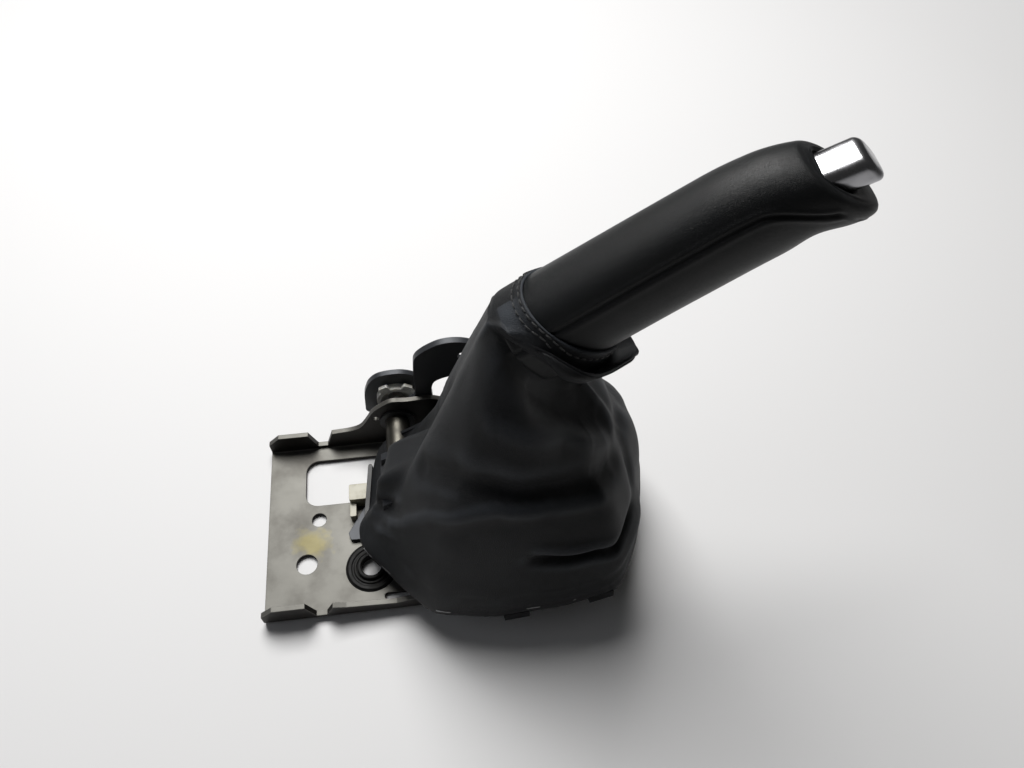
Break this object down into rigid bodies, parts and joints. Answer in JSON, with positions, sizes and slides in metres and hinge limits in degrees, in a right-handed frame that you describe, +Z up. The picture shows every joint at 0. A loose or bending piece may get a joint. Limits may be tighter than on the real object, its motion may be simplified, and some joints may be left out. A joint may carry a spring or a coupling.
{
  "type": "car_parking_brake_lever",
  "caption": "Car parking brake lever with leather gaiter and grip, push button release, ratchet and pawl, cable hook arm, lamp switch and a pressed steel base",
  "frame": {"origin": "underside of the base floor, below the lever's pivot axis, in the lever's middle plane", "axes": "+X from the pivot towards the grip's end, +Y across the lever towards the cable arm, +Z up from the floor the base is bolted to"},
  "size_m": [0.2927, 0.1581, 0.269],
  "materials": {
    "zinc_sheet": "dull zinc plated pressed steel",
    "dark_steel": "thin dark grey electrocoat with brighter cut edges",
    "bright_steel": "plain zinc plated",
    "satin_chrome": "satin chrome",
    "terminal_brass": "tin dulled brass",
    "grey_plastic": "natural grey nylon",
    "ivory_plastic": "ivory nylon",
    "black_plastic": "moulded, fine grain",
    "black_rubber": "matt",
    "gaiter_leather": "soft grained, bluish black",
    "grip_leather": "fine grained with a soft sheen from use"
  },
  "bodies": {
    "base": {"base_bracket": "zinc_sheet", "pivot_support": "dark_steel", "support_rivets": "zinc_sheet", "ratchet_sector": "dark_steel", "stop_pin": "bright_steel", "pivot_pin": "bright_steel", "pivot_clip": "bright_steel", "pivot_bush": "grey_plastic", "outer_plate": "dark_steel", "pivot_spacer": "bright_steel", "thrust_washer": "grey_plastic", "ear_bush": "ivory_plastic", "floor_grommet": "black_rubber", "switch_body": "ivory_plastic", "switch_connector": "ivory_plastic", "switch_terminals": "terminal_brass", "gaiter_frame": "black_plastic", "frame_clips": "dark_steel", "gaiter_staples": "bright_steel", "gaiter_skirt": "gaiter_leather"},
    "lever": {"lever_channel": "dark_steel", "hub_plates": "dark_steel", "cross_tube": "zinc_sheet", "cable_arm": "dark_steel", "grip_tube": "bright_steel", "grip_core": "black_plastic", "grip_cover": "grip_leather", "button_guide": "grey_plastic", "button_spring": "bright_steel", "gaiter_cuff": "gaiter_leather", "pawl_pin": "bright_steel", "pawl_spring": "bright_steel"},
    "button": {"release_button": "satin_chrome", "release_rod": "bright_steel"},
    "pawl": {"pawl": "dark_steel"},
    "plunger": {"switch_plunger": "ivory_plastic"}
  },
  "joints": [
    {"name": "lever_hinge", "type": "hinge", "parent": "base", "child": "lever", "pos_m": [0, 0, 0.028], "axis": [0, -1, 0], "range_deg": [0, 40], "deforming": ["gaiter_skirt"]},
    {"name": "button_slide", "type": "slide", "parent": "lever", "child": "button", "axis": [-0.891, 0, -0.454], "range_m": [0, 0.006], "stiffness_N_per_m": 1200, "springref_m": -0.004, "deforming": ["button_spring"]},
    {"name": "pawl_hinge", "type": "hinge", "parent": "lever", "child": "pawl", "pos_m": [0.0616, 0, 0.0567], "axis": [0, -1, 0], "range_deg": [0, 15]},
    {"name": "plunger_slide", "type": "slide", "parent": "base", "child": "plunger", "axis": [1, 0, 0], "range_m": [0, 0.0031]}
  ],
  "couplings": [
    {"joint": "pawl_hinge", "follows": "button_slide", "rad_per_m": 41.5},
    {"joint": "plunger_slide", "follows": "lever_hinge", "m_per_rad": 0.0043}
  ]
}
